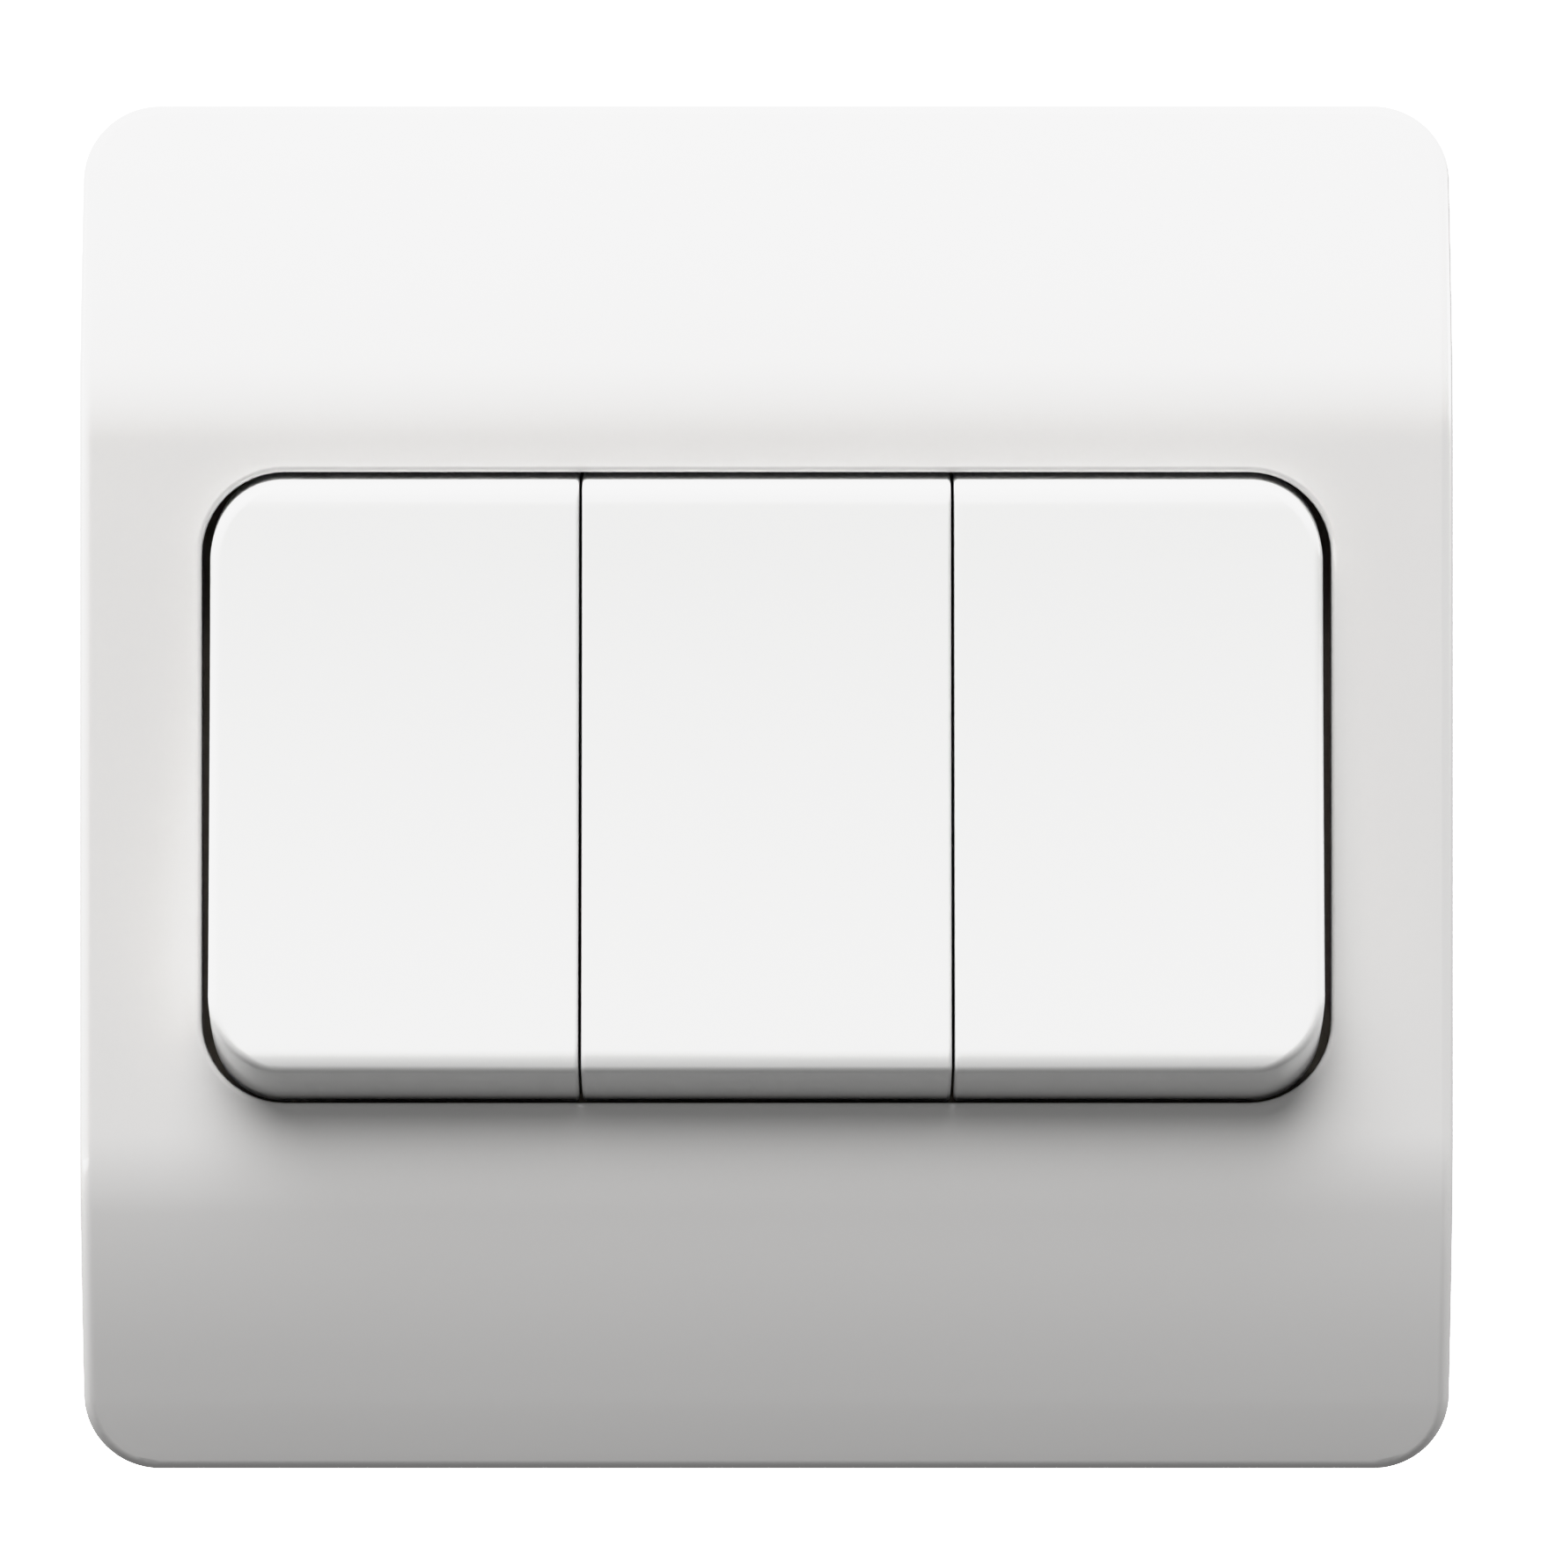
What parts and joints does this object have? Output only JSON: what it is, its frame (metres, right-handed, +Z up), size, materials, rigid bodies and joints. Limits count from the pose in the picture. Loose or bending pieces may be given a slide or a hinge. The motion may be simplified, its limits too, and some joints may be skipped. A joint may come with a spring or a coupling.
{
  "type": "rocker wall switch",
  "caption": "Square wall switch plate with curved top and bottom and wide side-by-side rockers that each tip a sprung see-saw contact in a rear housing with screw terminals",
  "frame": {"origin": "middle of the plate's back rim, on the wall surface", "axes": "+Y into the wall, +Z up, +X to the right of someone facing the switch; the front faces -Y"},
  "size_m": [0.086, 0.0357, 0.086],
  "materials": {
    "plate_plastic": "white moulded urea, satin",
    "rocker_plastic": "white moulded plastic, semi-gloss",
    "frame_plastic": "pale grey moulded nylon",
    "housing_plastic": "off-white moulded thermoset",
    "carrier_plastic": "natural acetal",
    "plunger_plastic": "red-brown acetal",
    "spring_steel": "drawn spring wire",
    "copper_strip": "rolled copper strip",
    "terminal_brass": "machined brass",
    "silver_tips": "silver alloy",
    "zinc_steel": "bright zinc plate",
    "nickel_steel": "nickel plate"
  },
  "bodies": {
    "switch": {"front_plate": "plate_plastic", "bearing_frame": "frame_plastic", "switch_base": "housing_plastic", "housing_screws": "zinc_steel", "frame_screws": "zinc_steel", "fixing_screws": "nickel_steel", "common_terminal_left": "terminal_brass", "l1_terminal_left": "terminal_brass", "l2_terminal_left": "terminal_brass", "fixed_contact_tips_left": "silver_tips", "terminal_screws_left": "zinc_steel", "common_terminal_middle": "terminal_brass", "l1_terminal_middle": "terminal_brass", "l2_terminal_middle": "terminal_brass", "fixed_contact_tips_middle": "silver_tips", "terminal_screws_middle": "zinc_steel", "common_terminal_right": "terminal_brass", "l1_terminal_right": "terminal_brass", "l2_terminal_right": "terminal_brass", "fixed_contact_tips_right": "silver_tips", "terminal_screws_right": "zinc_steel"},
    "rocker_left": {"rocker_cap_left": "rocker_plastic", "rocker_carrier_left": "carrier_plastic", "plunger_spring_left": "spring_steel"},
    "plunger_left": {"plunger_left": "plunger_plastic"},
    "contact_left": {"moving_contact_left": "copper_strip", "moving_contact_tips_left": "silver_tips"},
    "rocker_middle": {"rocker_cap_middle": "rocker_plastic", "rocker_carrier_middle": "carrier_plastic", "plunger_spring_middle": "spring_steel"},
    "plunger_middle": {"plunger_middle": "plunger_plastic"},
    "contact_middle": {"moving_contact_middle": "copper_strip", "moving_contact_tips_middle": "silver_tips"},
    "rocker_right": {"rocker_cap_right": "rocker_plastic", "rocker_carrier_right": "carrier_plastic", "plunger_spring_right": "spring_steel"},
    "plunger_right": {"plunger_right": "plunger_plastic"},
    "contact_right": {"moving_contact_right": "copper_strip", "moving_contact_tips_right": "silver_tips"}
  },
  "joints": [
    {"name": "rocker_left_tilt", "type": "hinge", "parent": "switch", "child": "rocker_left", "pos_m": [-0.0179, -0.004, 0], "axis": [1, 0, 0], "range_deg": [0, 9]},
    {"name": "plunger_left_travel", "type": "slide", "parent": "rocker_left", "child": "plunger_left", "axis": [0, 0.9969, -0.0785], "range_m": [-0.001, 0], "stiffness_N_per_m": 600, "springref_m": 0.001, "deforming": ["plunger_spring_left"]},
    {"name": "contact_left_tilt", "type": "hinge", "parent": "switch", "child": "contact_left", "pos_m": [-0.0179, 0.00844, 0], "axis": [1, 0, 0], "range_deg": [-19, 0]},
    {"name": "rocker_middle_tilt", "type": "hinge", "parent": "switch", "child": "rocker_middle", "pos_m": [0, -0.004, 0], "axis": [1, 0, 0], "range_deg": [0, 9]},
    {"name": "plunger_middle_travel", "type": "slide", "parent": "rocker_middle", "child": "plunger_middle", "axis": [0, 0.9969, -0.0785], "range_m": [-0.001, 0], "stiffness_N_per_m": 600, "springref_m": 0.001, "deforming": ["plunger_spring_middle"]},
    {"name": "contact_middle_tilt", "type": "hinge", "parent": "switch", "child": "contact_middle", "pos_m": [0, 0.00844, 0], "axis": [1, 0, 0], "range_deg": [-19, 0]},
    {"name": "rocker_right_tilt", "type": "hinge", "parent": "switch", "child": "rocker_right", "pos_m": [0.0179, -0.004, 0], "axis": [1, 0, 0], "range_deg": [0, 9]},
    {"name": "plunger_right_travel", "type": "slide", "parent": "rocker_right", "child": "plunger_right", "axis": [0, 0.9969, -0.0785], "range_m": [-0.001, 0], "stiffness_N_per_m": 600, "springref_m": 0.001, "deforming": ["plunger_spring_right"]},
    {"name": "contact_right_tilt", "type": "hinge", "parent": "switch", "child": "contact_right", "pos_m": [0.0179, 0.00844, 0], "axis": [1, 0, 0], "range_deg": [-19, 0]}
  ],
  "couplings": [
    {"joint": "contact_left_tilt", "follows": "rocker_left_tilt", "ratio": -2.1111},
    {"joint": "contact_middle_tilt", "follows": "rocker_middle_tilt", "ratio": -2.1111},
    {"joint": "contact_right_tilt", "follows": "rocker_right_tilt", "ratio": -2.1111}
  ]
}
